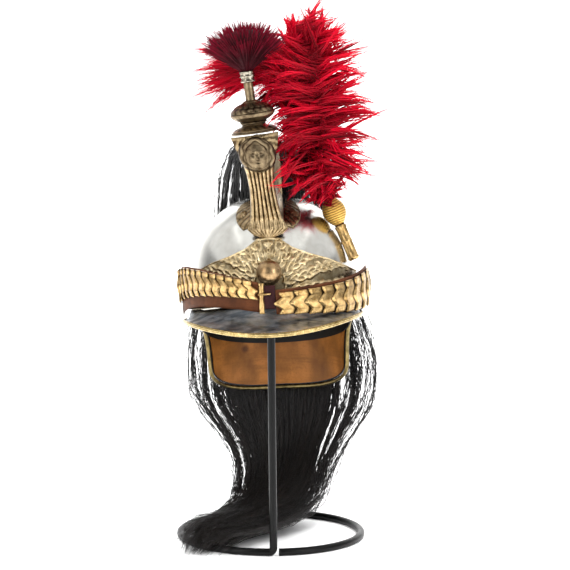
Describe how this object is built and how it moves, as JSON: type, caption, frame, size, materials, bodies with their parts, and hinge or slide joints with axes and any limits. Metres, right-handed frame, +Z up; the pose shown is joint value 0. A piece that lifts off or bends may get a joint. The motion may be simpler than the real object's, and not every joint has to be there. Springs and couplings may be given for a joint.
{
  "type": "cuirassier helmet on a wire stand",
  "caption": "Steel dress helmet with brass comb, scrolled front plate, chin scales, red feather plume and black horsehair tail, held on a plain wire ring stand.",
  "frame": {"origin": "on the floor, at the underside of the front of the stand's ring", "axes": "+Z up; the helmet faces -Y; +X is the wearer's left, where the plume stands"},
  "size_m": [0.2496, 0.3357, 0.6261],
  "materials": {
    "steel": "polished",
    "brass": "aged satin",
    "silver": "polished",
    "blackLeather": "satin",
    "brownLeather": "satin",
    "strapLeather": "matt",
    "darkLeather": "matt",
    "goldThread": "metallic thread",
    "redFeather": "matt",
    "burgundyHair": "matt",
    "blackHair": "satin",
    "blackPaint": "satin"
  },
  "bodies": {
    "root": {"skull": "steel", "peak": "steel", "neck_guard": "steel", "peak_rim": "brass", "neck_guard_rim": "brass", "front_plate": "brass", "brow_boss": "brass", "crest": "brass", "crest_front": "brass", "crest_mask": "brass", "crest_foot_left": "brass", "crest_foot_right": "brass", "crest_finial": "brass", "strap_rosette_left": "brass", "strap_rosette_right": "brass", "clasp_bar": "brass", "clasp_prong": "brass", "plume_holder": "brass", "scale_left_01": "brass", "scale_left_02": "brass", "scale_left_03": "brass", "scale_left_04": "brass", "scale_left_05": "brass", "scale_left_06": "brass", "scale_left_07": "brass", "scale_left_08": "brass", "scale_left_09": "brass", "scale_left_10": "brass", "scale_left_11": "brass", "scale_left_12": "brass", "scale_left_13": "brass", "scale_right_01": "brass", "scale_right_02": "brass", "scale_right_03": "brass", "scale_right_04": "brass", "scale_right_05": "brass", "scale_right_06": "brass", "scale_right_07": "brass", "scale_right_08": "brass", "scale_right_09": "brass", "tuft_ferrule": "silver", "sweatband": "blackLeather", "neck_lining": "brownLeather", "strap_left": "strapLeather", "strap_right": "strapLeather", "strap_end": "darkLeather", "plume_olive": "goldThread", "plume": "redFeather", "tuft": "burgundyHair", "horsehair_tail": "blackHair", "stand": "blackPaint"}
  },
  "joints": []
}
